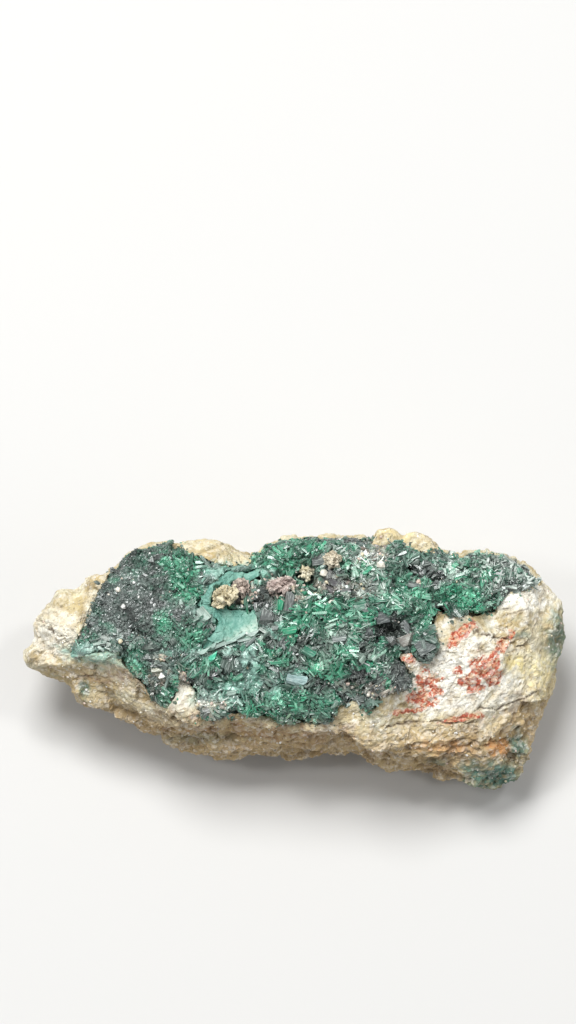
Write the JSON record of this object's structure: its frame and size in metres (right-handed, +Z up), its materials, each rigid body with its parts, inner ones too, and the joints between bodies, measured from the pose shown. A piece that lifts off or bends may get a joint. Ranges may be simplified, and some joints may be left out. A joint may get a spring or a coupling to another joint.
{
  "type": "antlerite specimen on matrix",
  "caption": "Rough hand specimen of antlerite: dark green crystals crusting the face of a broken pale rock that lies on its flat back.",
  "frame": {"origin": "middle of the bottom of the specimen's box, on the surface it rests on", "axes": "+X along the specimen's length, +Z up; the crystal face looks up and leans towards -Y"},
  "size_m": [0.084, 0.0392, 0.0331],
  "materials": {
    "matrix_rock": "rough broken rock, cream to tan with red and brown iron stains",
    "antlerite": "glassy dark green to black-green crystals",
    "turquoise": "dull pale blue-green coating",
    "pale_fragment": "dull cream rock"
  },
  "bodies": {
    "root": {"matrix_rock": "matrix_rock", "antlerite_crust": "antlerite", "turquoise_vein": "turquoise", "pale_fragment_left": "pale_fragment", "pale_fragment_middle": "pale_fragment", "pink_fragment": "pale_fragment", "cream_fragment": "pale_fragment", "upper_fragment": "pale_fragment"}
  },
  "joints": []
}
